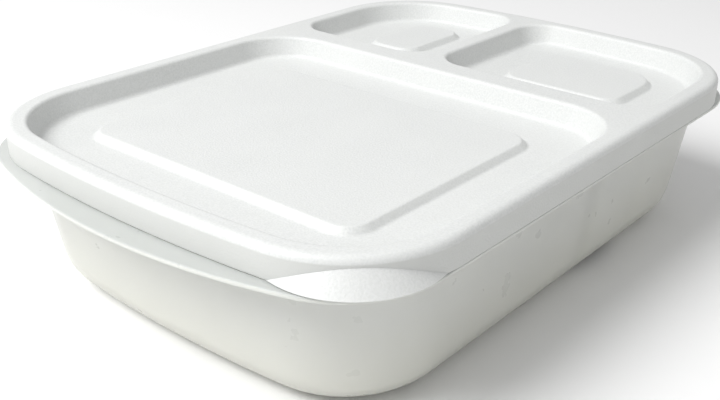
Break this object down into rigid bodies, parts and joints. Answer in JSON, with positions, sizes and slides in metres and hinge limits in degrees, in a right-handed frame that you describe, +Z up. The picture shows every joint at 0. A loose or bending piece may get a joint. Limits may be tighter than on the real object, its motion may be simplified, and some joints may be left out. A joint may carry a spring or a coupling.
{
  "type": "lunch box",
  "caption": "Divided plastic lunch box: a translucent tub with separate compartments and a carrying flange, closed by a one-piece push-fit lid with recessed panels and lift tabs.",
  "frame": {"origin": "centre of the bounding box's bottom face, on the surface the box stands on", "axes": "+X along the long side, towards the two small compartments; +Y across, towards the smaller of those two; +Z up, the way the lid lifts off"},
  "size_m": [0.256, 0.1774, 0.0585],
  "materials": {
    "tub_plastic": "translucent natural polypropylene, smooth satin",
    "lid_plastic": "white polypropylene, fine satin texture"
  },
  "bodies": {
    "tub": {"tub": "tub_plastic"},
    "lid": {"lid": "lid_plastic"}
  },
  "joints": [
    {"name": "lid_lift", "type": "slide", "parent": "tub", "child": "lid", "axis": [0, 0, 1], "range_m": [0, 0.08]}
  ]
}
